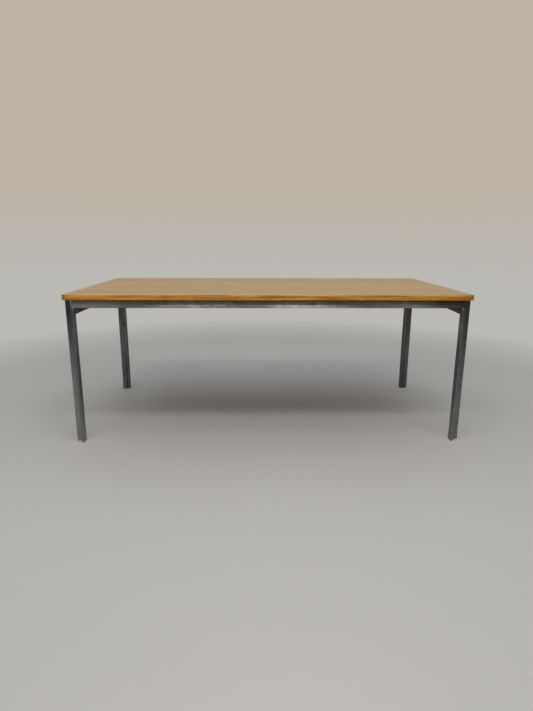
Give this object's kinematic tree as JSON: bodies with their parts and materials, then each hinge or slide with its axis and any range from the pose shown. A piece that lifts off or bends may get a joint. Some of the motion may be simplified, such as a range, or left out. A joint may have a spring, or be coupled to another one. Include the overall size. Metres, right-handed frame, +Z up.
{
  "type": "work table",
  "caption": "Long work table: a veneered wooden top with solid lippings on a slim welded frame of steel angle legs, angle rails and corner gussets.",
  "frame": {"origin": "on the floor under the middle of the top", "axes": "+X along the table, the front at -Y, +Z up"},
  "size_m": [1.8, 0.886, 0.69],
  "materials": {
    "wood_face": "satin lacquered veneer",
    "wood_edge": "satin lacquered solid wood",
    "core": "raw board",
    "frame_steel": "dark satin",
    "screw_steel": "satin"
  },
  "bodies": {
    "root": {"core_board": "core", "top_veneer": "wood_face", "bottom_veneer": "wood_face", "front_lipping": "wood_edge", "right_end_lipping": "wood_edge", "back_lipping": "wood_edge", "left_end_lipping": "wood_edge", "front_left_leg_bar": "frame_steel", "front_right_leg_bar": "frame_steel", "back_left_leg_bar": "frame_steel", "back_right_leg_bar": "frame_steel", "front_left_leg_fin": "frame_steel", "front_right_leg_fin": "frame_steel", "back_left_leg_fin": "frame_steel", "back_right_leg_fin": "frame_steel", "front_rail": "frame_steel", "right_end_rail": "frame_steel", "back_rail": "frame_steel", "left_end_rail": "frame_steel", "front_left_gusset": "frame_steel", "front_right_gusset": "frame_steel", "back_left_gusset": "frame_steel", "back_right_gusset": "frame_steel", "top_screws": "screw_steel"}
  },
  "joints": []
}
